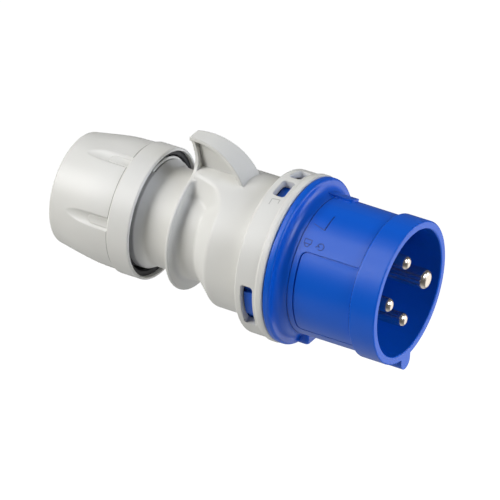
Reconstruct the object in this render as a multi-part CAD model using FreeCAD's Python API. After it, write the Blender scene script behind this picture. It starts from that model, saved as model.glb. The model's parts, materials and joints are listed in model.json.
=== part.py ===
import FreeCAD, Part

import math
import os

# Industrial pin and sleeve plug, straight type, four contacts, in millimetres.
# The origin is the centre of the collar's rim face. +X points out of the collar,
# the way the plug is pushed into its socket, and +Z points to the finger fin.
# "Behind" is a distance back from the rim face, so a point at behind = 10 has X = -10.
# A clock angle is in degrees, clockwise from the top as seen from the mating side.

# Collar that enters the socket
rim_radius = 25.0
rim_wall = 2.8
rim_band_length = 9.3
rim_edge_round = 0.5
band_step = 0.4
neck_front_radius = 23.75
neck_back_radius = 23.9
collar_length = 37.3
neck_step_setback = 3.8
neck_step = 0.25
neck_fillet = 3.4
flange_rise = 0.35
flange_thickness = 2.5
flange_edge_round = 0.9
collar_depth = 37.5
floor_thickness = 3.5
floor_fillet = 1.0

# Key, tab and nose on the collar
key_clock = 180.0
key_width = 6.2
key_rise = 0.2
tab_clock = 180.0
tab_width = 12.0
tab_length = 3.0
tab_rise = 0.4
tab_corner_round = 1.2
tab_side_round = 2.4
nose_clock = 21.5
nose_sweep = 13.0
nose_rise = 0.95
nose_length = 10.8

# Shallow moulded line round the panel on the collar's side
panel_clock = 233.0
panel_sweep = 76.5
panel_setback = 6.0
panel_round = 2.3
panel_line_width = 0.5
panel_line_depth = 0.3

# Spigot of the collar inside the housing, with its two bayonet lugs
spigot_length = 8.8
spigot_wall = 2.4
spigot_slack = 0.3
insert_thickness = 7.6
lug_height = 1.2
lug_start = 4.5
lug_length = 3.7
lug_clock = 245.5
lug_sweep = 20.5
lug_count = 2

# Contact pins, their terminals and the plate that holds them
pin_circle_radius = 10.9
phase_pin_clocks = (0.0, 180.0, 270.0)
earth_pin_clock = 90.0
phase_pin_radius = 2.5
earth_pin_radius = 3.5
phase_tip_setback = 0.9
earth_tip_setback = -1.1
pin_tip_round = 1.7
barrel_margin = 1.0
barrel_length = 17.0
wire_bore_radius = 1.9
wire_bore_length = 11.0
pin_seat_margin = 0.3
pin_slack = 0.05
tower_wall = 1.9
terminal_screw_radius = 1.8
terminal_screw_length = 4.6
terminal_screw_setback = 4.6
terminal_screw_sink = 0.5
screw_slot_width = 0.7
screw_slot_depth = 0.9
post_clocks = (45.0, 225.0)
post_circle_radius = 12.6
post_radius = 3.2
retainer_radius = 17.2
retainer_thickness = 2.0
wire_hole_margin = 0.7
fixing_screw_radius = 1.4
fixing_screw_length = 11.0
fixing_head_radius = 2.7
fixing_head_height = 1.6
screw_slack = 0.05

# Housing: bayonet ring, body, waist and finger disc
coupling_gap = 0.25
ring_length = 10.95
ring_radius = 28.75
ring_wall_at_lugs = 1.4
ring_lip_height = 0.6
ring_lip_length = 2.35
ring_lip_step = 0.5
ring_edge_round = 0.9
ring_back_wall = 1.5
body_radius = 24.05
body_length = 14.2
body_wall = 2.1
ring_fillet = 1.2
shoulder_length = 7.4
shoulder_round = 2.0
waist_radius = 18.1
waist_length = 7.65
waist_round = 2.0
neck_end_round = 2.0
disc_radius = 22.5
disc_thickness = 1.35
disc_edge_round = 0.5
disc_fillet = 1.5
neck_radius = 17.5
neck_length = 11.0
neck_lip_length = 3.1
thread_radius = 19.3
thread_length = 15.8
neck_bore_radius = 15.0
funnel_length = 8.0

# Windows in the bayonet ring, behind the lip that holds the lugs
window_start = 3.85
window_length = 4.5
window_round = 1.1
side_window_clock = 238.2
side_window_sweep = 34.6
top_window_clocks = (340.0, 2.4)
top_window_sweep = 16.5
pocket_slack = 0.3
housing_turn = 28.0
turn_margin = 0.8

# Finger fin on the housing
fin_arc_radius = 21.6
fin_arc_behind_disc = 0.55
fin_arc_height = 13.2
fin_thickness = 1.4
fin_overhang = 4.4
fin_tip_width = 5.4
fin_root_width = 11.6
fin_web_thickness = 2.0
fin_plate_flare = 18.0
fin_plate_neck_height = 30.0

# Back under the fin, hollowed on each side by an upright cone
flank_cone_setback = 0.25
flank_cone_side = 26.0
flank_cone_radius = 19.6
flank_cone_height = 22.9
flank_cone_slope = 0.35
spine_half_width = 17.5
spine_low = 9.0

# Seals, clamping cage and slip ring in the cable gland
gasket_thickness = 0.9
gasket_width = 3.4
cage_flange_radius = 17.2
cage_flange_thickness = 1.5
cage_tube_length = 12.0
cage_wall = 2.0
cage_slack = 0.2
cage_finger_length = 6.5
cage_tip_radius = 12.8
cage_tip_wall = 1.7
cage_slot_width = 1.2
cage_slot_count = 10
seal_length = 13.0
cable_radius = 7.0
seal_slack = 0.1
slip_ring_thickness = 1.4
slip_ring_width = 3.0
slip_ring_slack = 0.1

# Gland nut
nut_setback = 13.7
nut_length = 33.9
skirt_radius = 23.4
skirt_length = 8.2
skirt_wall = 1.1
skirt_edge_round = 0.7
skirt_step = 0.6
grip_radius = 22.75
grip_back_radius = 19.75
grip_taper_length = 10.0
grip_taper_radius = 22.55
grip_taper_round = 60.0
nut_end_round = 4.8
cable_hole_radius = 9.0
cable_hole_length = 3.6
mouth_depth = 7.5
thread_slack = 0.08
nut_thread_length = 14.6
nut_cone_end_radius = 12.5
groove_count = 6
groove_clock = 338.8
groove_depth = 1.4
groove_tip_radius = 21.1
groove_cutter_radius = 3.2
groove_length = 18.6
liner_thickness = 1.8
liner_setback = 1.6
liner_length = 6.0

# Stations along the axis, each a distance behind the rim face
flange_back = collar_length + flange_thickness
spigot_back = flange_back + spigot_length
insert_back = collar_depth + insert_thickness
barrel_front = collar_depth + floor_thickness
barrel_back = barrel_front + barrel_length
retainer_back = barrel_back + retainer_thickness
ring_front = flange_back + coupling_gap
ring_back = ring_front + ring_length
ring_floor = ring_back - ring_back_wall
body_back = ring_back + body_length
body_middle = body_back - body_length / 2
waist_front = body_back + shoulder_length
disc_front = waist_front + waist_length
disc_back = disc_front + disc_thickness
neck_back = disc_back + neck_length
thread_front = neck_back + neck_lip_length
thread_back = thread_front + thread_length
nut_front = disc_back + nut_setback
nut_back = nut_front + nut_length
mouth_back = nut_front + mouth_depth
cone_front = mouth_back + nut_thread_length
cone_back = nut_back - cable_hole_length
cage_back = thread_back + cage_flange_thickness + cage_finger_length

# Radii that follow from the values above
flange_radius = ring_radius + flange_rise
key_reach = flange_radius + key_rise
tab_reach = flange_radius + tab_rise
nose_reach = neck_back_radius + nose_rise
collar_bore_radius = rim_radius - rim_wall
pocket_radius = ring_radius - ring_wall_at_lugs
lug_radius = pocket_radius - pocket_slack
spigot_radius = lug_radius - lug_height
ring_bore_radius = spigot_radius + spigot_slack
cage_tube_radius = neck_bore_radius - cage_slack
seal_radius = cage_tube_radius - cage_wall - seal_slack
nut_thread_radius = thread_radius + thread_slack
mouth_radius = skirt_radius - skirt_wall

OUT = FreeCAD.Vector(1, 0, 0)
ORIGIN = FreeCAD.Vector(0, 0, 0)


def at(behind, height):
    """A point in the plane of the plug's axis and its top."""
    return FreeCAD.Vector(-behind, 0, height)


def shared_room(length, own_round, next_round):
    """How much of a side one corner's rounding may use beside the rounding at its other end."""
    return 0.96 * length * own_round / (own_round + next_round)


def outline(corners):
    """A closed face in the X-Z plane from corners of (behind, height, rounding)."""
    points = [at(corner[0], corner[1]) for corner in corners]
    rounds = [corner[2] if len(corner) > 2 else 0.0 for corner in corners]
    starts = []
    ends = []
    arcs = []
    for i, point in enumerate(points):
        before = points[i - 1] - point
        after = points[(i + 1) % len(points)] - point
        if rounds[i] <= 0:
            starts.append(point)
            ends.append(point)
            arcs.append(None)
            continue
        half_angle = before.getAngle(after) / 2
        next_round = rounds[(i + 1) % len(points)]
        room = min(shared_room(before.Length, rounds[i], rounds[i - 1]),
                   shared_room(after.Length, rounds[i], next_round))
        radius = min(rounds[i], room * math.tan(half_angle))
        before.normalize()
        after.normalize()
        setback = radius / math.tan(half_angle)
        bisector = (before + after).normalize()
        middle = point + bisector * (radius / math.sin(half_angle) - radius)
        starts.append(point + before * setback)
        ends.append(point + after * setback)
        arcs.append(middle)
    edges = []
    for i, arc_middle in enumerate(arcs):
        if arc_middle is not None:
            edges.append(Part.Arc(starts[i], arc_middle, ends[i]).toShape())
        edges.append(Part.LineSegment(ends[i], starts[(i + 1) % len(points)]).toShape())
    return Part.Face(Part.Wire(edges))


def turned(corners):
    """A solid of revolution about the plug's axis."""
    return outline(corners).revolve(ORIGIN, OUT, 360)


def clocked(shape, clock, radius=0.0):
    """A copy moved up to a radius and then turned to a clock angle."""
    copy = shape.copy()
    copy.translate(FreeCAD.Vector(0, 0, radius))
    copy.rotate(ORIGIN, OUT, -clock)
    return copy


def sector(front, back, inner, outer, clock, sweep):
    """A block between two radii, from one clock angle on through its sweep."""
    face = outline([(front, inner), (front, outer), (back, outer), (back, inner)])
    return clocked(face.revolve(ORIGIN, OUT, -sweep), clock)


def rounded_sector(front, back, inner, outer, clock, sweep, rounding):
    """A sector whose four corners, seen from outside, are rounded."""
    block = sector(front, back, inner, outer, clock, sweep)
    height = outer - inner
    radial = [e for e in block.Edges if abs(e.Length - height) < 1e-6 and len(e.Vertexes) == 2]
    return block.makeFillet(rounding, radial)


def rod(front, back, radius):
    """A cylinder about the plug's axis."""
    return Part.makeCylinder(radius, back - front, at(back, 0), OUT)


def radial_rod(behind, low, high, radius):
    """A cylinder that stands on the axis and points to the top."""
    return Part.makeCylinder(radius, high - low, at(behind, low), FreeCAD.Vector(0, 0, 1))


def slab(points, low, high):
    """A prism from (behind, side) points in plan, between two heights."""
    corners = [FreeCAD.Vector(-behind, side, low) for behind, side in points]
    face = Part.Face(Part.makePolygon(corners + corners[:1]))
    return face.extrude(FreeCAD.Vector(0, 0, high - low))


def lug_clocks():
    """Clock angles where the bayonet lugs start."""
    return [lug_clock + 360.0 / lug_count * i for i in range(lug_count)]


def pins():
    """Each pin's name, clock angle, radius and tip setback."""
    rows = []
    for number, clock in enumerate(phase_pin_clocks, start=1):
        rows.append((f"phase_pin_{number}", clock, phase_pin_radius, phase_tip_setback))
    rows.append(("earth_pin", earth_pin_clock, earth_pin_radius, earth_tip_setback))
    return rows


def barrel_radius(pin_radius):
    return pin_radius + barrel_margin


def terminal_station():
    """Where the terminal screws cross the wire bores."""
    return barrel_back - terminal_screw_setback


def screw_top():
    """Radius at which the terminal screws end, just inside the towers' outer side."""
    tower_top = pin_circle_radius + barrel_radius(phase_pin_radius) + tower_wall
    return tower_top - terminal_screw_sink


def collar_shell():
    """Collar, flange, insert floor and spigot as one turned moulding."""
    spigot_inner = spigot_radius - spigot_wall
    return turned([
        (0, collar_bore_radius, rim_edge_round),
        (0, rim_radius, rim_edge_round),
        (rim_band_length, rim_radius, rim_edge_round),
        (rim_band_length + band_step, neck_front_radius, rim_edge_round),
        (collar_length - neck_step_setback, neck_back_radius),
        (collar_length - neck_step_setback, neck_back_radius + neck_step),
        (collar_length, neck_back_radius + neck_step, neck_fillet),
        (collar_length, flange_radius, flange_edge_round),
        (flange_back, flange_radius, flange_edge_round / 2),
        (flange_back, spigot_radius),
        (spigot_back, spigot_radius, rim_edge_round),
        (spigot_back, spigot_inner),
        (insert_back, spigot_inner, floor_fillet),
        (insert_back, 0),
        (collar_depth, 0),
        (collar_depth, collar_bore_radius, floor_fillet),
    ])


def key():
    """Round-nosed key under the rim band."""
    nose_radius = key_width / 2
    nose_height = key_reach - nose_radius
    root_height = collar_bore_radius
    nose = rod(0, rim_band_length, nose_radius)
    nose.translate(FreeCAD.Vector(0, 0, nose_height))
    corner = FreeCAD.Vector(-rim_band_length, -nose_radius, root_height)
    web = Part.makeBox(rim_band_length, key_width, nose_height - root_height, corner)
    bore = rod(-1, rim_band_length + 1, collar_bore_radius + rim_edge_round)
    return clocked(nose.fuse(web).cut(bore), key_clock)


def tab():
    """Square tab on the front of the flange, below."""
    root_height = neck_back_radius - rim_wall / 2
    length = tab_length + flange_thickness
    corner = FreeCAD.Vector(-flange_back, -tab_width / 2, root_height)
    block = Part.makeBox(length, tab_width, tab_reach - root_height, corner)
    side_edges = []
    for edge in block.Edges:
        if edge.BoundBox.XLength > 1e-6 and edge.BoundBox.ZMin > root_height + 1e-6:
            side_edges.append(edge)
    block = block.makeFillet(tab_side_round, side_edges)
    front_edges = []
    for edge in block.Edges:
        box = edge.BoundBox
        at_front = box.XLength < 1e-6 and box.XMin > -collar_length
        if at_front and box.ZMax > root_height + 1e-6:
            front_edges.append(edge)
    return clocked(block.makeFillet(tab_corner_round, front_edges), tab_clock)


def nose():
    """Low pad on the collar's neck, in front of the flange, near the top."""
    root_radius = neck_front_radius - rim_wall / 2
    start = nose_clock - nose_sweep / 2
    front = collar_length - nose_length
    back = collar_length + 1
    return rounded_sector(front, back, root_radius, nose_reach, start, nose_sweep, tab_corner_round)


def panel_line():
    """Shallow moulded line round the bare panel, open towards the rim band."""
    low = neck_front_radius - panel_line_depth
    high = neck_back_radius + panel_line_depth
    front = rim_band_length - panel_round
    back = collar_length - panel_setback
    angle = math.degrees(panel_line_width / neck_front_radius)
    outside = rounded_sector(front, back, low, high, panel_clock, panel_sweep, panel_round)
    inside = rounded_sector(front - 1, back - panel_line_width, low - 1, high + 1, panel_clock + angle,
                            panel_sweep - 2 * angle, panel_round - panel_line_width)
    line_front = rim_band_length + band_step + rim_edge_round
    return outside.cut(inside).common(rod(line_front, collar_length, high + 1))


def terminal_towers():
    """A tower round each pin's barrel and a post for each fixing screw."""
    solids = []
    for name, clock, radius, setback in pins():
        tower = rod(insert_back - 1, barrel_back, barrel_radius(radius) + tower_wall)
        solids.append(clocked(tower, clock, pin_circle_radius))
    for clock in post_clocks:
        post = rod(insert_back - 1, barrel_back, post_radius)
        solids.append(clocked(post, clock, post_circle_radius))
    return solids


def contact_carrier():
    """The blue moulding that holds the pins and enters the socket."""
    parts = [key(), tab(), nose()] + terminal_towers()
    for clock in lug_clocks():
        front = flange_back + lug_start
        parts.append(sector(front, front + lug_length, spigot_radius - 1, lug_radius, clock, lug_sweep))
    body = collar_shell().fuse(parts)
    holes = [panel_line()]
    for name, clock, radius, setback in pins():
        shank = rod(collar_depth - 1, barrel_front + 1, radius + pin_seat_margin + pin_slack)
        barrel = rod(barrel_front, barrel_back + 1, barrel_radius(radius) + pin_slack)
        holes.append(clocked(shank, clock, pin_circle_radius))
        holes.append(clocked(barrel, clock, pin_circle_radius))
        screw_hole = radial_rod(terminal_station(), pin_circle_radius, screw_top() + 5,
                                terminal_screw_radius + screw_slack)
        holes.append(clocked(screw_hole, clock))
    for clock in post_clocks:
        front = retainer_back - fixing_screw_length - 1
        hole = rod(front, barrel_back + 1, fixing_screw_radius + screw_slack)
        holes.append(clocked(hole, clock, post_circle_radius))
    return body.cut(holes).removeSplitter()


def contact_pin(clock, radius, setback):
    """A pin with a domed tip, a seat in the floor, a wire bore and a cross hole for its screw."""
    barrel = barrel_radius(radius)
    body = turned([
        (setback, 0),
        (setback, radius, pin_tip_round),
        (collar_depth, radius),
        (collar_depth, radius + pin_seat_margin),
        (barrel_front, radius + pin_seat_margin),
        (barrel_front, barrel, 0.2),
        (barrel_back, barrel, 0.2),
        (barrel_back, wire_bore_radius),
        (barrel_back - wire_bore_length, wire_bore_radius),
        (barrel_back - wire_bore_length, 0),
    ])
    cross_hole = radial_rod(terminal_station(), 0, barrel + 1, terminal_screw_radius + screw_slack)
    return clocked(body.cut(cross_hole), clock, pin_circle_radius)


def terminal_screw(clock):
    """A slotted grub screw that clamps the wire in its pin."""
    top = screw_top()
    behind = terminal_station()
    body = radial_rod(behind, top - terminal_screw_length, top, terminal_screw_radius)
    corner = FreeCAD.Vector(-behind - terminal_screw_radius, -screw_slot_width / 2, top - screw_slot_depth)
    slot = Part.makeBox(2 * terminal_screw_radius, screw_slot_width, screw_slot_depth + 1, corner)
    return clocked(body.cut(slot), clock)


def pin_retainer():
    """The plate screwed on behind the pins."""
    body = rod(barrel_back, retainer_back, retainer_radius)
    holes = []
    for name, clock, radius, setback in pins():
        hole = rod(barrel_back - 1, retainer_back + 1, wire_bore_radius + wire_hole_margin)
        holes.append(clocked(hole, clock, pin_circle_radius))
    for clock in post_clocks:
        hole = rod(barrel_back - 1, retainer_back + 1, fixing_screw_radius + screw_slack)
        holes.append(clocked(hole, clock, post_circle_radius))
    return body.cut(holes)


def fixing_screw(clock):
    """A pan-head screw that holds the retainer plate on its post."""
    shank = rod(retainer_back - fixing_screw_length, retainer_back + 0.2, fixing_screw_radius)
    head = turned([
        (retainer_back, 0),
        (retainer_back, fixing_head_radius),
        (retainer_back + fixing_head_height, fixing_head_radius, 0.7),
        (retainer_back + fixing_head_height, 0),
    ])
    depth = fixing_head_height - screw_slot_depth
    head_back = retainer_back + fixing_head_height
    corner = FreeCAD.Vector(-head_back - 1, -screw_slot_width / 2, -fixing_head_radius)
    slot = Part.makeBox(fixing_head_height + 1 - depth, screw_slot_width, 2 * fixing_head_radius, corner)
    return clocked(shank.fuse(head).cut(slot).removeSplitter(), clock, post_circle_radius)


def ring_skin():
    """The housing's solid outside from the bayonet ring to the middle of its body."""
    lip_back = ring_front + ring_lip_length
    return turned([
        (ring_front, 0),
        (ring_front, ring_radius + ring_lip_height, ring_edge_round),
        (lip_back, ring_radius + ring_lip_height, ring_lip_step),
        (lip_back + ring_lip_step, ring_radius, ring_lip_step),
        (ring_back, ring_radius, ring_edge_round),
        (ring_back, body_radius, ring_fillet),
        (body_middle, body_radius),
        (body_middle, 0),
    ])


def waist_skin():
    """The housing's solid outside from the middle of its body to the disc, with sharp corners."""
    return turned([
        (body_middle, 0),
        (body_middle, body_radius),
        (body_back, body_radius),
        (waist_front, waist_radius),
        (disc_front, waist_radius),
        (disc_front, disc_radius),
        (disc_back, disc_radius),
        (disc_back, 0),
    ])


def neck_skin():
    """The finger disc, the neck and its thread, solid."""
    return turned([
        (disc_front, 0),
        (disc_front, disc_radius, disc_edge_round),
        (disc_back, disc_radius, disc_edge_round),
        (disc_back, neck_radius, disc_fillet),
        (neck_back, neck_radius, neck_end_round),
        (thread_front, thread_radius, 0.6),
        (thread_back, thread_radius, 0.6),
        (thread_back, 0),
    ])


def housing_hollow():
    """The space inside the housing, open at both ends."""
    body_bore = body_radius - body_wall
    funnel_front = body_back + 1 - funnel_length / 2
    return turned([
        (ring_front - 1, 0),
        (ring_front - 1, ring_bore_radius),
        (ring_floor, ring_bore_radius),
        (ring_floor, body_bore),
        (funnel_front, body_bore, 3.0),
        (funnel_front + funnel_length, neck_bore_radius, 3.0),
        (thread_back + 1, neck_bore_radius),
        (thread_back + 1, 0),
    ])


def fin_centre():
    """Centre of the fin ridge's arc, as behind and height."""
    return disc_front + fin_arc_behind_disc, fin_arc_height


def fin_tip():
    """How far behind the rim the fin's ridge ends."""
    return disc_front + fin_overhang


def fin_ridge(radius, width):
    """The round-topped body under the ridge arc, cut off at the fin's tip and above the body."""
    behind, height = fin_centre()
    front = behind - radius
    base = at(behind, height) - FreeCAD.Vector(0, width / 2, 0)
    disc = Part.makeCylinder(radius, width, base, FreeCAD.Vector(0, 1, 0))
    corner = FreeCAD.Vector(-fin_tip(), -width / 2, waist_radius)
    room = Part.makeBox(fin_tip() - front, width, radius + height, corner)
    return disc.common(room)


def fin_ribbon():
    """The curved finger rest, narrow at its tip and wide where it lands on the body."""
    behind, height = fin_centre()
    inner = fin_ridge(fin_arc_radius - fin_thickness, 2 * fin_root_width)
    band = fin_ridge(fin_arc_radius, 1.5 * fin_root_width).cut(inner)
    front = behind - fin_arc_radius
    wedge = slab([
        (fin_tip() + 1, -fin_tip_width / 2),
        (front, -fin_root_width / 2),
        (front, fin_root_width / 2),
        (fin_tip() + 1, fin_tip_width / 2),
    ], 0, 2 * ring_radius)
    return band.common(wedge)


def fin_web():
    """The thin wall under the ribbon, as far back as the disc."""
    web = fin_ridge(fin_arc_radius - fin_thickness / 2, fin_web_thickness)
    corner = FreeCAD.Vector(-disc_back, -fin_web_thickness, 0)
    room = Part.makeBox(disc_back, 2 * fin_web_thickness, 2 * ring_radius, corner)
    return web.common(room)


def fin_plate():
    """The disc drawn up to the fin's tip, leaning back, with hollow flanks."""
    behind, height = fin_centre()
    top = height + math.sqrt(fin_arc_radius ** 2 - (fin_tip() - behind) ** 2)
    lean = fin_tip() - disc_back
    low = waist_radius
    bend = at(lean / 6, (low + 2 * top) / 3 - 2)
    front_edge = Part.Arc(at(disc_front, low), at(disc_front, 0) + bend, at(disc_front + lean, top))
    back_edge = Part.Arc(at(disc_back + lean, top), at(disc_back, 0) + bend, at(disc_back, low))
    side = Part.Wire([
        front_edge.toShape(),
        Part.LineSegment(at(disc_front + lean, top), at(disc_back + lean, top)).toShape(),
        back_edge.toShape(),
        Part.LineSegment(at(disc_back, low), at(disc_front, low)).toShape(),
    ])
    side_face = Part.Face(side)
    side_face.translate(FreeCAD.Vector(0, -fin_plate_flare, 0))
    leaning = side_face.extrude(FreeCAD.Vector(0, 2 * fin_plate_flare, 0))
    return leaning.common(fin_plate_front())


def fin_plate_front():
    """The fin plate's shape seen along the axis: a neck that flares into the disc."""
    x = -fin_tip() - 1
    half = fin_tip_width / 2
    flare = fin_plate_flare / 2
    foot = math.sqrt(disc_radius ** 2 - flare ** 2) - 0.3
    top = 2 * ring_radius
    middle = FreeCAD.Vector(0, half + (flare - half) * 0.28, foot + (fin_plate_neck_height - foot) * 0.34)
    right_arc = Part.Arc(
        FreeCAD.Vector(x, half, fin_plate_neck_height),
        FreeCAD.Vector(x, middle.y, middle.z),
        FreeCAD.Vector(x, flare, foot))
    left_arc = Part.Arc(
        FreeCAD.Vector(x, -flare, foot),
        FreeCAD.Vector(x, -middle.y, middle.z),
        FreeCAD.Vector(x, -half, fin_plate_neck_height))
    corners = [(half, top), (half, fin_plate_neck_height), (flare, foot), (flare, 0), (-flare, 0),
               (-flare, foot), (-half, fin_plate_neck_height), (-half, top)]
    points = [FreeCAD.Vector(x, y, z) for y, z in corners]
    edges = [
        Part.LineSegment(points[0], points[1]).toShape(),
        right_arc.toShape(),
        Part.LineSegment(points[2], points[3]).toShape(),
        Part.LineSegment(points[3], points[4]).toShape(),
        Part.LineSegment(points[4], points[5]).toShape(),
        left_arc.toShape(),
        Part.LineSegment(points[6], points[7]).toShape(),
        Part.LineSegment(points[7], points[0]).toShape(),
    ]
    length = fin_tip() - disc_front + 3
    return Part.Face(Part.Wire(edges)).extrude(FreeCAD.Vector(length, 0, 0))


def flank_cone(side):
    """An upright cone beside the spine, wide at its top."""
    low = spine_low - 1
    high = body_radius + 1
    low_radius = flank_cone_radius - (flank_cone_height - low) * flank_cone_slope
    high_radius = flank_cone_radius - (flank_cone_height - high) * flank_cone_slope
    foot = at(disc_front - flank_cone_setback, low) + FreeCAD.Vector(0, side * flank_cone_side, 0)
    return Part.makeCone(low_radius, high_radius, high - low, foot, FreeCAD.Vector(0, 0, 1))


def spine():
    """The full-height back under the fin, narrowing in two hollow flanks from the body to the disc."""
    front = body_back - shoulder_round
    back = disc_front + disc_thickness / 2
    corner = FreeCAD.Vector(-back, -spine_half_width, spine_low)
    block = Part.makeBox(back - front, 2 * spine_half_width, body_radius, corner)
    return block.common(rod(front, back, body_radius)).cut([flank_cone(1), flank_cone(-1)])


def ends_at(edge, radius):
    """How many of an edge's ends lie at a radius from the axis."""
    return sum(abs(math.hypot(v.Y, v.Z) - radius) < 0.01 for v in edge.Vertexes)


def cove_edges(shape):
    """Inside corners between the waist, the shoulder, the spine's flanks and the disc."""
    found = []
    for edge in shape.Edges:
        box = edge.BoundBox
        if box.XMax < -body_back + 0.01 and box.XMin > -disc_front - 0.01 and ends_at(edge, waist_radius):
            found.append(edge)
    return found


def crest_edges(shape):
    """Outside corners along the shoulder and along both sides of the spine's back."""
    found = []
    for edge in shape.Edges:
        box = edge.BoundBox
        in_reach = -disc_front < box.XMax < -body_back + 0.01 and box.XMin > -disc_back
        if in_reach and ends_at(edge, body_radius) == len(edge.Vertexes):
            found.append(edge)
    return found


def waist():
    """Waist and spine, blended from the body to the disc's front face."""
    blank = waist_skin().fuse(spine()).removeSplitter()
    blank = blank.makeFillet(waist_round, cove_edges(blank))
    blank = blank.makeFillet(shoulder_round, crest_edges(blank))
    return blank.common(rod(body_middle, disc_front, body_radius))


def ring_windows():
    """Openings through the bayonet ring, the same again on the far side."""
    front = ring_front + window_start
    back = front + window_length
    inner = ring_bore_radius - 1
    outer = ring_radius + 1
    cutters = []
    for half_turn in (0.0, 180.0):
        cutters.append(rounded_sector(front, back, inner, outer, side_window_clock + half_turn,
                                      side_window_sweep, window_round))
        for clock in top_window_clocks:
            cutters.append(rounded_sector(front, back, inner, outer, clock + half_turn,
                                          top_window_sweep, window_round))
    return cutters


def bayonet_pockets():
    """For each lug, the track it turns in and the gap it leaves the ring by."""
    front = ring_front + window_start
    back = front + window_length
    cutters = []
    for clock in lug_clocks():
        track_start = clock - turn_margin
        track_sweep = lug_sweep + housing_turn + 2 * turn_margin
        cutters.append(sector(front, back, ring_bore_radius - 1, pocket_radius, track_start, track_sweep))
        gap_start = clock + housing_turn - turn_margin
        gap_sweep = lug_sweep + 2 * turn_margin
        inner = ring_bore_radius - 1
        cutters.append(sector(ring_front - 1, front + 1, inner, pocket_radius, gap_start, gap_sweep))
    return cutters


def housing():
    """The grey housing with its finger fin, bayonet ring and threaded end."""
    body = ring_skin().fuse([waist(), neck_skin(), fin_web(), fin_plate(), fin_ribbon()])
    return body.cut([housing_hollow()] + ring_windows() + bayonet_pockets()).removeSplitter()


def body_gasket():
    """Flat seal on the ring's floor, just behind the spigot."""
    outer = ring_bore_radius - seal_slack
    inner = outer - gasket_width
    front = ring_floor - gasket_thickness
    return rod(front, ring_floor, outer).cut(rod(front - 1, ring_floor + 1, inner))


def clamping_cage():
    """A flanged tube in the housing's end, with fingers that close on the cable."""
    tube_front = thread_back - cage_tube_length
    flange_end = thread_back + cage_flange_thickness
    bore = seal_radius + seal_slack
    body = turned([
        (tube_front, bore, 0.3),
        (tube_front, cage_tube_radius, 0.5),
        (thread_back, cage_tube_radius),
        (thread_back, cage_flange_radius, 0.3),
        (flange_end, cage_flange_radius, 0.3),
        (cage_back, cage_tip_radius, 0.4),
        (cage_back, cage_tip_radius - cage_tip_wall, 0.3),
        (flange_end, bore),
    ])
    slots = []
    for i in range(cage_slot_count):
        corner = FreeCAD.Vector(-cage_back - 1, -cage_slot_width / 2, 0)
        slot = Part.makeBox(cage_finger_length, cage_slot_width, cage_flange_radius + 1, corner)
        slots.append(clocked(slot, 360.0 / cage_slot_count * i))
    return body.cut(slots)


def cable_seal():
    """Rubber sleeve that the cage squeezes onto the cable."""
    front = thread_back + cage_flange_thickness - seal_length
    return turned([
        (front, cable_radius, 0.8),
        (front, seal_radius, 0.3),
        (front + seal_length, seal_radius, 0.3),
        (front + seal_length, cable_radius, 0.8),
    ])


def slip_ring():
    """Washer between the nut's end wall and the cage, so that the fingers don't twist."""
    back = cone_back - slip_ring_slack
    front = back - slip_ring_thickness
    outer = nut_cone_end_radius - 3 * slip_ring_slack
    inner = outer - slip_ring_width
    return turned([(front, inner, 0.2), (front, outer, 0.2), (back, outer, 0.2), (back, inner, 0.2)])


def nut_body():
    """The gland nut's turned form: skirt, thread bore, cone and cable hole."""
    skirt_back = nut_front + skirt_length
    return turned([
        (nut_front, mouth_radius, skirt_edge_round / 2),
        (nut_front, skirt_radius, skirt_edge_round),
        (skirt_back, skirt_radius, 0.2),
        (skirt_back + skirt_step, grip_radius, 0.2),
        (skirt_back + grip_taper_length, grip_taper_radius, grip_taper_round),
        (nut_back, grip_back_radius, nut_end_round),
        (nut_back, cable_hole_radius, 0.8),
        (cone_back, cable_hole_radius),
        (cone_back, nut_cone_end_radius),
        (cone_front, nut_thread_radius),
        (mouth_back, nut_thread_radius, 0.4),
        (mouth_back, mouth_radius),
    ])


def grip_groove():
    """A round-bottomed cutter that runs out of the nut's surface towards its back."""
    front = nut_front + skirt_length + skirt_step
    back = front + groove_length
    low = grip_radius - groove_depth + groove_cutter_radius
    high = groove_tip_radius + groove_cutter_radius
    direction = at(back, high) - at(front, low)
    return Part.makeCylinder(groove_cutter_radius, 2 * direction.Length, at(front, low), direction)


def gland_nut():
    """The nut that closes the cable gland, with grooves for the fingers."""
    cutters = [clocked(grip_groove(), groove_clock - 360.0 / groove_count * i) for i in range(groove_count)]
    return nut_body().cut(cutters)


def mouth_liner():
    """Dark sealing sleeve inside the nut's skirt."""
    front = nut_front + liner_setback
    back = min(front + liner_length, mouth_back)
    inner = mouth_radius - liner_thickness
    return turned([(front, inner, 0.5), (front, mouth_radius), (back, mouth_radius), (back, inner)])


def save(name, shape):
    """Write one piece as a STEP file named after its node."""
    if not shape.isValid() or not shape.Solids:
        raise ValueError(f"{name} is not a valid solid")
    shape.exportStep(f"parts/{name}.step")
    print(name, len(shape.Solids), round(shape.Volume, 1))


def main():
    os.makedirs("parts", exist_ok=True)
    save("contact_carrier", contact_carrier())
    for number, (name, clock, radius, setback) in enumerate(pins(), start=1):
        save(name, contact_pin(clock, radius, setback))
        save(f"terminal_screw_{number}", terminal_screw(clock))
    save("pin_retainer", pin_retainer())
    for number, clock in enumerate(post_clocks, start=1):
        save(f"retainer_screw_{number}", fixing_screw(clock))
    save("housing", housing())
    save("body_gasket", body_gasket())
    save("clamping_cage", clamping_cage())
    save("cable_seal", cable_seal())
    save("slip_ring", slip_ring())
    save("gland_nut", gland_nut())
    save("mouth_liner", mouth_liner())


main()
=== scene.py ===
import json
import math

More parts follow.
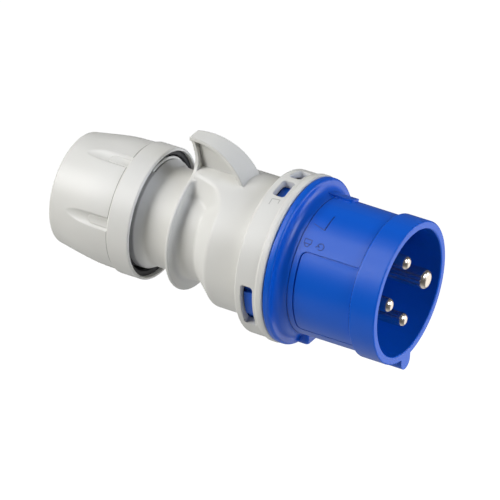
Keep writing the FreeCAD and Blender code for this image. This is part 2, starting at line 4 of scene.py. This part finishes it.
import bpy
import numpy as np
from mathutils import Matrix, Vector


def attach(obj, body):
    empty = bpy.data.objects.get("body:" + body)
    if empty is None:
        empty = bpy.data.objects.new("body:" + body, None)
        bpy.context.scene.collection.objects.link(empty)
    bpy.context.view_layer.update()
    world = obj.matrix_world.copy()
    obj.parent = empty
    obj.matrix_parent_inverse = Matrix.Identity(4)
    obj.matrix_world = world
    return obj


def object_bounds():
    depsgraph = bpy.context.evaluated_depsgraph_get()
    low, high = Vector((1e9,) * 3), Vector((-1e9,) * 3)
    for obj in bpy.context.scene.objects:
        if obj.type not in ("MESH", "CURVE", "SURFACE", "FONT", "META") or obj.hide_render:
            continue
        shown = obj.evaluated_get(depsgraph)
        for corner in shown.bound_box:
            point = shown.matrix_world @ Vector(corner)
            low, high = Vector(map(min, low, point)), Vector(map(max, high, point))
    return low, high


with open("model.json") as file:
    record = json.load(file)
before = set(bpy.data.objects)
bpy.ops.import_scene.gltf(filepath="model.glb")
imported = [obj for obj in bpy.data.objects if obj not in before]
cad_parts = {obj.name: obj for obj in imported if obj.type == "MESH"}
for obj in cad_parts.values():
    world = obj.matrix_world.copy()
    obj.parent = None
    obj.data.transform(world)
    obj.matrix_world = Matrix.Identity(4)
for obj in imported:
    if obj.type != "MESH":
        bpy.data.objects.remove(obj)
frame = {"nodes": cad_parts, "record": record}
cad_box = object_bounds()

# Industrial pin and sleeve plug. Metres; +X points out of the collar, +Z to the fin.
# "Behind" is a distance back from the rim face, and a clock angle is in degrees from
# the top, positive towards +Y, as in the part's source.
MM = 0.001

# Camera: its place, and how it is turned, in degrees
CAMERA_EYE = (0.64222, -1.28277, 0.83281)
CAMERA_AZIMUTH = 28.7372
CAMERA_ELEVATION = 29.7424
CAMERA_ROLL = 2.5874
CAMERA_LENS = 360.0
CAMERA_SENSOR = 36.0
CAMERA_NEAR = 0.01
CAMERA_FAR = 50.0

# Studio: how far the floor lies below the plug, its side, and how bright the camera and a
# gloss see the floor and the room
FLOOR_DROP = 2.2
FLOOR_SIZE = 20.0
FLOOR_COLOUR = (0.92, 0.92, 0.92)
FLOOR_GLOW = 0.97
FLOOR_IN_GLOSS = 0.1
WORLD_IN_GLOSS = 0.12

# Square lamps round the plug's middle. Each row is a name, degrees from -Y towards -X,
# degrees up, watts, the light's colour, and whether a gloss shows the lamp
PLUG_MIDDLE = (-0.064, 0.0, 0.0)
LAMP_DISTANCE = 2.0
LAMP_SIDE = 1.0
PLAIN_LIGHT = (1.0, 1.0, 1.0)
COOL_LIGHT = (0.94, 1.0, 1.14)
WARM_LIGHT = (1.03, 1.0, 0.88)
LAMPS = [
    ("key_lamp", 50, 30, 32.4, PLAIN_LIGHT, True),
    ("high_key_lamp", 50, 58, 7.8, PLAIN_LIGHT, True),
    ("high_cable_lamp", 85, 58, 3.0, PLAIN_LIGHT, True),
    ("mating_lamp", -90, 30, 18.9, COOL_LIGHT, True),
    ("far_mating_lamp", -130, 0, 11.0, PLAIN_LIGHT, True),
    ("tip_lamp", -151, -30, 3.2, PLAIN_LIGHT, True),
    ("mating_fill", -90, 30, 3.4, PLAIN_LIGHT, False),
    ("level_mating_fill", -90, 0, 12.2, PLAIN_LIGHT, False),
    ("low_mating_fill", -130, -35, 0.8, PLAIN_LIGHT, False),
    ("low_side_fill", -55, -35, 4.8, COOL_LIGHT, False),
    ("low_front_fill", 15, -35, 8.2, WARM_LIGHT, False),
    ("level_cable_fill", 85, 0, 3.4, PLAIN_LIGHT, False),
    ("high_cable_fill", 85, 58, 9.6, WARM_LIGHT, False),
]

# Surfaces that carry the lines and signs, as in the part's source, in millimetres and degrees
COLLAR_RADIUS = 23.88
COLLAR_BACK_STEP = 33.35
COLLAR_FRONT_STEP = 9.95
COLLAR_FRONT_RADIUS = 23.76
RING_RADIUS = 28.75
THREAD_RADIUS = 19.3
THREAD_FRONT = 96.05
THREAD_BACK = 111.0
THREAD_PITCH = 3.0
THREAD_CLOCK = -16.0
GRIP_FRONT = 104.1
GRIP_RADIUS = 22.75
GROOVE_LOW = 24.55
GROOVE_HIGH = 24.3
GROOVE_LENGTH = 18.6
GROOVE_CUTTER = 3.2
GROOVE_CLOCK = 338.8
GROOVE_COUNT = 6

# Fine lines laid as low beads, most of them darker to paint the shade of creases, grooves and marks:
# how proud they stand, and the corners round their section
LINE_HEIGHT = 0.05
LINE_SIDES = 8

# Lines on the collar: the widths of the lines of painted shadow along the steps' creases, and the
# arrow's and the sign's places
BACK_STEP_SHADE_WIDTH = 0.3
FRONT_STEP_SHADE_WIDTH = 0.26
ARROW_BEHIND = 27.0
ARROW_CLOCK = -29.3
ARROW_SHAFT_WIDTH = 0.5
ARROW_BARB_WIDTH = 0.24
SIGN_BEHIND = 24.3
SIGN_CLOCK = -40.4
SIGN_WIDTH = 0.3

# Open bracket on the ring
RING_MARK_BEHIND = 44.6
RING_MARK_CLOCK = -28.2
RING_MARK_WIDTH = 0.34

# Gland thread: its fine line of painted shade along the groove, and the ridge that leads in
THREAD_SHADE_WIDTH = 0.7
THREAD_SHADE_HEIGHT = 0.06
LEAD_BEHIND = THREAD_FRONT + 0.85
LEAD_CLOCK = THREAD_CLOCK - 2.0
LEAD_TURNS = 0.42
LEAD_WIDTH = 1.2
LEAD_HEIGHT = 0.8

# Nut: the line of painted shadow in the crease before the skirt, and the pads in the finger grooves
GRIP_SHADE_BEHIND = GRIP_FRONT + 0.12
GRIP_SHADE_WIDTH = 0.3
GRIP_SHADE_HEIGHT = 0.06
PAD_FRONT = GRIP_FRONT + 0.1
PAD_LENGTH = 8.2
PAD_HALF_WIDTH = 1.75
PAD_HEIGHT = 0.16
PAD_ROWS = 28
PAD_SIDES = 24

# Share of a noise's range that a colour or a gloss follows
NOISE_LOW = 0.15
NOISE_HIGH = 0.85

# Moulded plastics: darker and lighter colour, roughness and strength of the grain, and for the
# two large mouldings how wide an edge is shaded as rounded, in metres
BLUE_PLASTIC = ((0.0015, 0.086, 0.53), (0.002, 0.101, 0.59), 0.3, 0.16, 0.0003)
BLUE_GLOSS = 0.38
GREY_PLASTIC = ((0.66, 0.655, 0.625), (0.715, 0.71, 0.68), 0.4, 0.20, 0.0006)
# Darker blue of the collar's lines: painted shade of the step creases and of the marks' grooves
BLUE_PAINTED_SHADE = ((0.001, 0.028, 0.20), (0.001, 0.034, 0.24), 0.4, 0.1)
# Darker grey of the thread's line and of the grip's line: painted shade of the thread's groove and of
# the crease before the skirt
GREY_PAINTED_SHADE = ((0.30, 0.30, 0.285), (0.34, 0.34, 0.32), 0.4, 0.1)
# Softer darker grey of the ring's bracket: painted shade of the mark
SOFT_GREY_PAINTED_SHADE = ((0.44, 0.435, 0.415), (0.48, 0.475, 0.45), 0.4, 0.1)

# Metals and nylon: darker and lighter colour; rubbers: those and the roughness
NICKEL_COLOURS = ((0.78, 0.69, 0.585), (0.88, 0.785, 0.675))
ZINC_COLOURS = ((0.47, 0.48, 0.50), (0.62, 0.63, 0.65))
NYLON_COLOURS = ((0.72, 0.71, 0.66), (0.80, 0.79, 0.75))
SEAL_RUBBER = ((0.012, 0.012, 0.012), (0.02, 0.02, 0.02), 0.6)
LINER_RUBBER = ((0.018, 0.019, 0.021), (0.03, 0.031, 0.034), 0.55)


def new_material(name, colour, roughness):
    """A plain dielectric or metal to which the grain and bump nodes are added."""
    material = bpy.data.materials.new(name)
    material.use_nodes = True
    shader = material.node_tree.nodes["Principled BSDF"]
    shader.inputs["Base Color"].default_value = (*colour, 1.0)
    shader.inputs["Roughness"].default_value = roughness
    return material, material.node_tree, shader


def noise(tree, scale, detail, stretch=(1.0, 1.0, 1.0)):
    """Noise on Object coordinates, stretched along an axis where the finish runs that way."""
    place = tree.nodes.new("ShaderNodeTexCoord")
    mapping = tree.nodes.new("ShaderNodeMapping")
    mapping.inputs["Scale"].default_value = stretch
    texture = tree.nodes.new("ShaderNodeTexNoise")
    texture.inputs["Scale"].default_value = scale
    texture.inputs["Detail"].default_value = detail
    tree.links.new(place.outputs["Object"], mapping.inputs["Vector"])
    tree.links.new(mapping.outputs["Vector"], texture.inputs["Vector"])
    return texture.outputs["Fac"]


def ramp(tree, factor, low, high):
    """A colour ramp between two colours over the noise's middle range."""
    node = tree.nodes.new("ShaderNodeValToRGB")
    node.color_ramp.elements[0].position = NOISE_LOW
    node.color_ramp.elements[0].color = (*low, 1.0)
    node.color_ramp.elements[1].position = NOISE_HIGH
    node.color_ramp.elements[1].color = (*high, 1.0)
    tree.links.new(factor, node.inputs["Fac"])
    return node.outputs["Color"]


def between(tree, factor, low, high):
    """A number that follows the noise from low to high."""
    node = tree.nodes.new("ShaderNodeMapRange")
    node.inputs["From Min"].default_value = NOISE_LOW
    node.inputs["From Max"].default_value = NOISE_HIGH
    node.inputs["To Min"].default_value = low
    node.inputs["To Max"].default_value = high
    tree.links.new(factor, node.inputs["Value"])
    return node.outputs["Result"]


def add_bump(tree, shader, height, strength, distance, edge_round=0.0):
    """Bump from a height that is read as a share of distance, over edges shaded as rounded."""
    node = tree.nodes.new("ShaderNodeBump")
    node.inputs["Strength"].default_value = strength
    node.inputs["Distance"].default_value = distance
    tree.links.new(height, node.inputs["Height"])
    if edge_round > 0.0:
        bevel = tree.nodes.new("ShaderNodeBevel")
        bevel.inputs["Radius"].default_value = edge_round
        tree.links.new(bevel.outputs["Normal"], node.inputs["Normal"])
    tree.links.new(node.outputs["Normal"], shader.inputs["Normal"])


def moulded_plastic(name, dark, light, roughness, grain, edge_round=0.0, gloss=0.5):
    """Satin moulded plastic: a slow drift of colour and gloss, and a fine spark-eroded grain."""
    material, tree, shader = new_material(name, light, roughness)
    drift = noise(tree, 28.0, 2.0)
    tree.links.new(ramp(tree, drift, dark, light), shader.inputs["Base Color"])
    tree.links.new(between(tree, drift, roughness - 0.03, roughness + 0.04), shader.inputs["Roughness"])
    add_bump(tree, shader, noise(tree, 5200.0, 3.0), grain, 0.00004, edge_round)
    shader.inputs["IOR"].default_value = 1.5
    shader.inputs["Specular IOR Level"].default_value = gloss
    return material


def nickel_finish():
    """Warm nickel plate with faint turning lines round each pin and small dull patches."""
    material, tree, shader = new_material("nickel_plate", (0.80, 0.70, 0.59), 0.32)
    shader.inputs["Metallic"].default_value = 1.0
    patches = noise(tree, 420.0, 4.0)
    tree.links.new(ramp(tree, patches, *NICKEL_COLOURS), shader.inputs["Base Color"])
    tree.links.new(between(tree, patches, 0.26, 0.2), shader.inputs["Roughness"])
    add_bump(tree, shader, noise(tree, 500.0, 2.0, (6.0, 1.0, 1.0)), 0.08, 0.00002)
    return material


def zinc_finish():
    """Dull zinc plate on the small screws."""
    material, tree, shader = new_material("zinc_plate", (0.55, 0.56, 0.58), 0.36)
    shader.inputs["Metallic"].default_value = 1.0
    patches = noise(tree, 900.0, 3.0)
    tree.links.new(ramp(tree, patches, *ZINC_COLOURS), shader.inputs["Base Color"])
    add_bump(tree, shader, patches, 0.3, 0.00003)
    return material


def rubber_finish(name, dark, light, roughness):
    """Matt rubber with a fine, even grain."""
    material, tree, shader = new_material(name, light, roughness)
    grain = noise(tree, 1600.0, 4.0)
    tree.links.new(ramp(tree, grain, dark, light), shader.inputs["Base Color"])
    add_bump(tree, shader, grain, 0.35, 0.00006)
    shader.inputs["Specular IOR Level"].default_value = 0.3
    return material


def nylon_finish():
    """Slightly see-through white nylon."""
    material, tree, shader = new_material("natural_nylon", (0.78, 0.77, 0.73), 0.42)
    drift = noise(tree, 90.0, 3.0)
    tree.links.new(ramp(tree, drift, *NYLON_COLOURS), shader.inputs["Base Color"])
    add_bump(tree, shader, noise(tree, 3000.0, 2.0), 0.15, 0.00004)
    shader.inputs["Subsurface Weight"].default_value = 0.15
    shader.inputs["Subsurface Radius"].default_value = (0.002, 0.002, 0.0018)
    shader.inputs["Subsurface Scale"].default_value = 1.0
    return material


def dress_nodes():
    """Gives every CAD node the material of its slot in the record."""
    finishes = {
        "blue_plastic": moulded_plastic("blue_plastic", *BLUE_PLASTIC, BLUE_GLOSS),
        "light_grey_plastic": moulded_plastic("light_grey_plastic", *GREY_PLASTIC),
        "nickel_plated_pin": nickel_finish(),
        "zinc_plated_screw": zinc_finish(),
        "white_nylon": nylon_finish(),
        "black_rubber": rubber_finish("black_rubber", *SEAL_RUBBER),
        "dark_liner": rubber_finish("dark_liner_rubber", *LINER_RUBBER),
    }
    slots = {row["node"]: row["material_slot"] for row in frame["record"]["subparts"]}
    for name, node in frame["nodes"].items():
        node.data.materials.clear()
        node.data.materials.append(finishes[slots[name]])
    return finishes


def on_plug(path):
    """Points in metres from rows of millimetres behind the rim, clock angle and radius."""
    behind, clock, radius = np.asarray(path, float).T
    clock = np.radians(clock)
    return MM * np.column_stack([-behind, radius * np.sin(clock), radius * np.cos(clock)])


def unit(vectors):
    """The same directions with a length of one."""
    return vectors / np.linalg.norm(vectors, axis=-1, keepdims=True)


def tube_faces(rows, sides, closed):
    """Faces of a tube whose section has a number of sides: a ring, or capped at both ends."""
    row, side = np.meshgrid(np.arange(rows if closed else rows - 1), np.arange(sides), indexing="ij")
    row, side = row.ravel(), side.ravel()
    next_row, next_side = (row + 1) % rows, (side + 1) % sides
    faces = np.column_stack([row * sides + side, row * sides + next_side,
                             next_row * sides + next_side, next_row * sides + side]).tolist()
    if not closed:
        first = list(range(sides))
        faces += [first[::-1], [(rows - 1) * sides + n for n in first]]
    return faces


def bead_line(path, width, height=LINE_HEIGHT):
    """A fine line laid along a path on a turned surface. The section is an ellipse about the
    path, as wide as the line across it and as high as the line out from the axis, so that
    half of it is sunk. A path that ends where it starts becomes a ring."""
    centre = on_plug(path)
    closed = np.allclose(centre[0], centre[-1])
    if closed:
        centre = centre[:-1]
        along = np.roll(centre, -1, axis=0) - np.roll(centre, 1, axis=0)
    else:
        along = np.gradient(centre, axis=0)
    out = unit(centre * (0.0, 1.0, 1.0))
    side = unit(np.cross(out, along))
    turn = np.arange(LINE_SIDES) * 2 * math.pi / LINE_SIDES
    across = width / 2 * MM * np.cos(turn)
    outward = height * MM * np.sin(turn)
    points = centre[:, None] + side[:, None] * across[:, None] + out[:, None] * outward[:, None]
    return points.reshape(-1, 3), tube_faces(len(centre), LINE_SIDES, closed)


def add_piece(name, shapes, body, finish):
    """One smooth mesh from several shapes, each its corners and faces, riding on a CAD body."""
    corners, faces, count = [], [], 0
    for points, polygons in shapes:
        corners.append(points)
        faces += [[count + n for n in polygon] for polygon in polygons]
        count += len(points)
    mesh = bpy.data.meshes.new(name)
    mesh.from_pydata(np.concatenate(corners).tolist(), [], faces)
    mesh.polygons.foreach_set("use_smooth", [len(face) == 4 for face in faces])
    mesh.materials.append(finish)
    piece = bpy.data.objects.new(name, mesh)
    bpy.context.scene.collection.objects.link(piece)
    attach(piece, body)


def ring_path(behind, radius):
    """A full circle round the axis."""
    clock = np.linspace(-180.0, 180.0, 181)
    return np.column_stack([np.full_like(clock, behind), clock, np.full_like(clock, radius)])


def straight_runs(corners, step=0.4):
    """Points a step apart on the straight runs between corners."""
    corners = np.asarray(corners, float)
    reach = np.concatenate([[0.0], np.cumsum(np.linalg.norm(np.diff(corners, axis=0), axis=1))])
    at = np.linspace(0.0, reach[-1], max(2, int(reach[-1] / step) + 1))
    at = np.union1d(at, reach)
    return np.column_stack([np.interp(at, reach, corners[:, k]) for k in range(2)])


def arc(x, y, radius, start, end):
    """Points on a flat circle from one angle to another, in degrees."""
    angle = np.radians(np.linspace(start, end, 25))
    return np.column_stack([x + radius * np.cos(angle), y + radius * np.sin(angle)])


def wrapped(flat, behind, clock, radius):
    """A flat drawing laid round the axis: x runs back from the rim and y against the clock."""
    turn = clock - np.degrees(flat[:, 1] / radius)
    return np.column_stack([behind + flat[:, 0], turn, np.full(len(flat), radius)])


def lock_sign():
    """Flat strokes, in millimetres, of a turning arrow and of a closed padlock."""
    circle = arc(1.35, 1.4, 1.15, 60.0, 350.0)
    tip = circle[-1]
    head = straight_runs([tip + (-0.75, 0.35), tip, tip + (0.55, 0.70)])
    case = straight_runs([(5.0, 0.1), (7.6, 0.1), (7.6, 1.6), (5.0, 1.6), (5.0, 0.1)])
    shackle = np.concatenate([[(5.5, 1.6)], arc(6.3, 1.9, 0.8, 180.0, 0.0), [(7.1, 1.6)]])
    return [circle, head, case, shackle]


def add_collar_lines(finish):
    """Lines of painted shadow in the creases where the collar steps, and the arrow that points to the
    closed place and the sign, real marks whose darker blue is painted shade of their grooves.
    """
    shaft = straight_runs([(0.0, 0.0), (-0.2, -6.6)])
    barb = straight_runs([(0.0, 0.0), (4.6, -1.3)])
    shapes = [bead_line(ring_path(COLLAR_BACK_STEP, COLLAR_RADIUS), BACK_STEP_SHADE_WIDTH),
              bead_line(ring_path(COLLAR_FRONT_STEP, COLLAR_FRONT_RADIUS), FRONT_STEP_SHADE_WIDTH)]
    for stroke, width in ((shaft, ARROW_SHAFT_WIDTH), (barb, ARROW_BARB_WIDTH)):
        path = wrapped(stroke, ARROW_BEHIND, ARROW_CLOCK, COLLAR_RADIUS)
        shapes.append(bead_line(path, width))
    for stroke in lock_sign():
        path = wrapped(stroke, SIGN_BEHIND, SIGN_CLOCK, COLLAR_RADIUS)
        shapes.append(bead_line(path, SIGN_WIDTH))
    add_piece("collar_marks_and_step_shade", shapes, "collar", finish)


def add_ring_mark(finish):
    """The small open bracket on the bayonet ring, a moulded mark whose darker grey is painted shade."""
    corners = [(2.8, 0.0), (2.8, -2.5), (0.0, -2.8), (0.0, -1.2)]
    path = wrapped(straight_runs(corners), RING_MARK_BEHIND, RING_MARK_CLOCK, RING_RADIUS)
    mark = bead_line(path, RING_MARK_WIDTH)
    add_piece("ring_mark", [mark], "housing", finish)


def helix(behind, clock, turns, radius):
    """A path that winds back along the axis by the thread's pitch for each turn."""
    share = np.linspace(0.0, 1.0, int(90 * turns) + 2)
    return np.column_stack([behind + share * turns * THREAD_PITCH, clock + 360.0 * turns * share,
                            np.full_like(share, radius)])


def add_neck_thread(groove_shade_finish, ridge_finish):
    """The gland thread: a fine winding line of darker grey, painted shade along the thread's groove,
    and a rounded ridge that leads in over part of a turn.
    """
    turns = (THREAD_BACK - THREAD_FRONT) / THREAD_PITCH
    winding = helix(THREAD_FRONT, THREAD_CLOCK, turns, THREAD_RADIUS)
    line = bead_line(winding, THREAD_SHADE_WIDTH, THREAD_SHADE_HEIGHT)
    add_piece("thread_groove_shade", [line], "housing", groove_shade_finish)
    start = helix(LEAD_BEHIND, LEAD_CLOCK, LEAD_TURNS, THREAD_RADIUS)
    lead = bead_line(start, LEAD_WIDTH, LEAD_HEIGHT)
    add_piece("thread_lead", [lead], "housing", ridge_finish)


def grip_edge():
    """The nut's grip where it meets the skirt: a circle that dips along each groove. There the
    radius is where a line from the axis first meets the groove's round cutter."""
    clock = np.linspace(-180.0, 180.0, 721)
    pitch = 360.0 / GROOVE_COUNT
    off = np.radians((clock - GROOVE_CLOCK + pitch / 2) % pitch - pitch / 2)
    inside = np.clip(GROOVE_CUTTER ** 2 - (GROOVE_LOW * np.sin(off)) ** 2, 0.0, None)
    dip = GROOVE_LOW * np.cos(off) - np.sqrt(inside)
    radius = np.where(inside > 0.0, np.minimum(dip, GRIP_RADIUS), GRIP_RADIUS)
    return np.column_stack([np.full_like(clock, GRIP_SHADE_BEHIND), clock, radius])


def groove_pad(clock):
    """A shallow pad on a groove's floor, next to the skirt. It is a tube along the groove whose
    flat section is a rounded oblong bent round the cutter's axis, and it narrows to a round end."""
    run = PAD_LENGTH * np.sin(np.linspace(0.0, math.pi / 2, PAD_ROWS)) ** 1.4
    past = np.clip((run - (PAD_LENGTH - PAD_HALF_WIDTH)) / PAD_HALF_WIDTH, 0.0, 0.995)
    half = PAD_HALF_WIDTH * np.sqrt(1.0 - past ** 2)
    turn = np.arange(PAD_SIDES) * 2 * math.pi / PAD_SIDES
    across = half[:, None] * np.sign(np.cos(turn)) * np.abs(np.cos(turn)) ** 0.5
    rise = PAD_HEIGHT * np.sign(np.sin(turn)) * np.abs(np.sin(turn)) ** 0.5
    bend = across / GROOVE_CUTTER
    lean = (GROOVE_HIGH - GROOVE_LOW) / GROOVE_LENGTH
    axis_height = GROOVE_LOW + lean * run[:, None]
    arm = GROOVE_CUTTER - rise[None, :]
    behind = np.broadcast_to(PAD_FRONT + run[:, None], bend.shape)
    flat_side = arm * np.sin(bend)
    up = axis_height - arm * np.cos(bend)
    angle = math.radians(clock)
    points = MM * np.stack([-behind, up * math.sin(angle) + flat_side * math.cos(angle),
                            up * math.cos(angle) - flat_side * math.sin(angle)], axis=-1)
    return points.reshape(-1, 3), tube_faces(PAD_ROWS, PAD_SIDES, False)


def add_nut_details(crease_shade_finish, pad_finish):
    """A darker line of painted shadow in the crease where the grip meets the skirt, and the pads in the
    finger grooves.
    """
    line = bead_line(grip_edge(), GRIP_SHADE_WIDTH, GRIP_SHADE_HEIGHT)
    add_piece("grip_crease_shade", [line], "gland_nut", crease_shade_finish)
    clocks = GROOVE_CLOCK - 360.0 / GROOVE_COUNT * np.arange(GROOVE_COUNT)
    pads = [groove_pad(clock) for clock in clocks]
    add_piece("groove_pads", pads, "gland_nut", pad_finish)


def add_floor():
    """A wide pale floor well below the plug. Its own glow, for what the camera and a gloss
    see of it, lifts it to white."""
    low = cad_box[0][2] - FLOOR_DROP
    half = FLOOR_SIZE / 2
    mesh = bpy.data.meshes.new("studio_floor")
    corners = [(-half, -half, low), (half, -half, low), (half, half, low), (-half, half, low)]
    mesh.from_pydata(corners, [], [(0, 1, 2, 3)])
    floor = bpy.data.objects.new("studio_floor", mesh)
    bpy.context.scene.collection.objects.link(floor)
    material, tree, shader = new_material("studio_floor", FLOOR_COLOUR, 0.9)
    path = tree.nodes.new("ShaderNodeLightPath")
    seen = tree.nodes.new("ShaderNodeMath")
    seen.operation = "MULTIPLY_ADD"
    seen.inputs[1].default_value = FLOOR_IN_GLOSS
    tree.links.new(path.outputs["Is Glossy Ray"], seen.inputs[0])
    tree.links.new(path.outputs["Is Camera Ray"], seen.inputs[2])
    tree.links.new(seen.outputs["Value"], shader.inputs["Emission Strength"])
    shader.inputs["Emission Color"].default_value = (FLOOR_GLOW, FLOOR_GLOW, FLOOR_GLOW, 1.0)
    mesh.materials.append(material)


def add_world():
    """A dim room that only a gloss shows, and plain white where the camera sees the world itself."""
    world = bpy.data.worlds.new("studio")
    bpy.context.scene.world = world
    world.use_nodes = True
    world.cycles_visibility.diffuse = False
    tree = world.node_tree
    background = tree.nodes["Background"]
    background.inputs["Color"].default_value = (1.0, 1.0, 1.0, 1.0)
    path = tree.nodes.new("ShaderNodeLightPath")
    room = tree.nodes.new("ShaderNodeMapRange")
    room.inputs["To Min"].default_value = WORLD_IN_GLOSS
    room.inputs["To Max"].default_value = 1.0
    tree.links.new(path.outputs["Is Camera Ray"], room.inputs["Value"])
    tree.links.new(room.outputs["Result"], background.inputs["Strength"])


def direction(turn, rise):
    """The way that is so many degrees from -Y towards +X, and so many up."""
    turn, rise = math.radians(turn), math.radians(rise)
    return np.array([math.sin(turn) * math.cos(rise), -math.cos(turn) * math.cos(rise), math.sin(rise)])


def aimed(place, back, roll=0.0):
    """The matrix of a camera or lamp that stands at a place and looks away from back."""
    side = unit(np.cross((0.0, 0.0, 1.0), back))
    up = np.cross(back, side)
    matrix = np.eye(4)
    matrix[:3, 0] = side * math.cos(roll) + up * math.sin(roll)
    matrix[:3, 1] = up * math.cos(roll) - side * math.sin(roll)
    matrix[:3, 2] = back
    matrix[:3, 3] = place
    return Matrix(matrix.tolist())


def add_lamp(name, turn, rise, power, colour, in_gloss):
    """A square area lamp in a direction from the plug's middle, turned to it."""
    data = bpy.data.lights.new(name, "AREA")
    data.shape = "SQUARE"
    data.size = LAMP_SIDE
    data.energy = power
    data.color = colour
    lamp = bpy.data.objects.new(name, data)
    bpy.context.scene.collection.objects.link(lamp)
    back = direction(-turn, rise)
    lamp.matrix_world = aimed(np.array(PLUG_MIDDLE) + LAMP_DISTANCE * back, back)
    lamp.visible_glossy = in_gloss


def add_camera():
    """The photograph's camera: a long lens, rolled a little."""
    data = bpy.data.cameras.new("photo_camera")
    data.lens = CAMERA_LENS
    data.sensor_width = CAMERA_SENSOR
    data.clip_start = CAMERA_NEAR
    data.clip_end = CAMERA_FAR
    camera = bpy.data.objects.new("photo_camera", data)
    bpy.context.scene.collection.objects.link(camera)
    back = direction(CAMERA_AZIMUTH, CAMERA_ELEVATION)
    camera.matrix_world = aimed(CAMERA_EYE, back, math.radians(CAMERA_ROLL))
    bpy.context.scene.camera = camera


finishes = dress_nodes()
# Line finishes darker than their plastic: painted shade of creases, grooves and marks
blue_painted_shade = moulded_plastic("blue_painted_shade", *BLUE_PAINTED_SHADE)
grey_painted_shade = moulded_plastic("grey_painted_shade", *GREY_PAINTED_SHADE)
soft_grey_painted_shade = moulded_plastic("soft_grey_painted_shade", *SOFT_GREY_PAINTED_SHADE)
add_collar_lines(blue_painted_shade)
add_ring_mark(soft_grey_painted_shade)
add_neck_thread(grey_painted_shade, finishes["light_grey_plastic"])
add_nut_details(grey_painted_shade, finishes["light_grey_plastic"])
add_floor()
add_world()
for lamp in LAMPS:
    add_lamp(*lamp)
add_camera()
bpy.context.scene.view_settings.view_transform = "Standard"
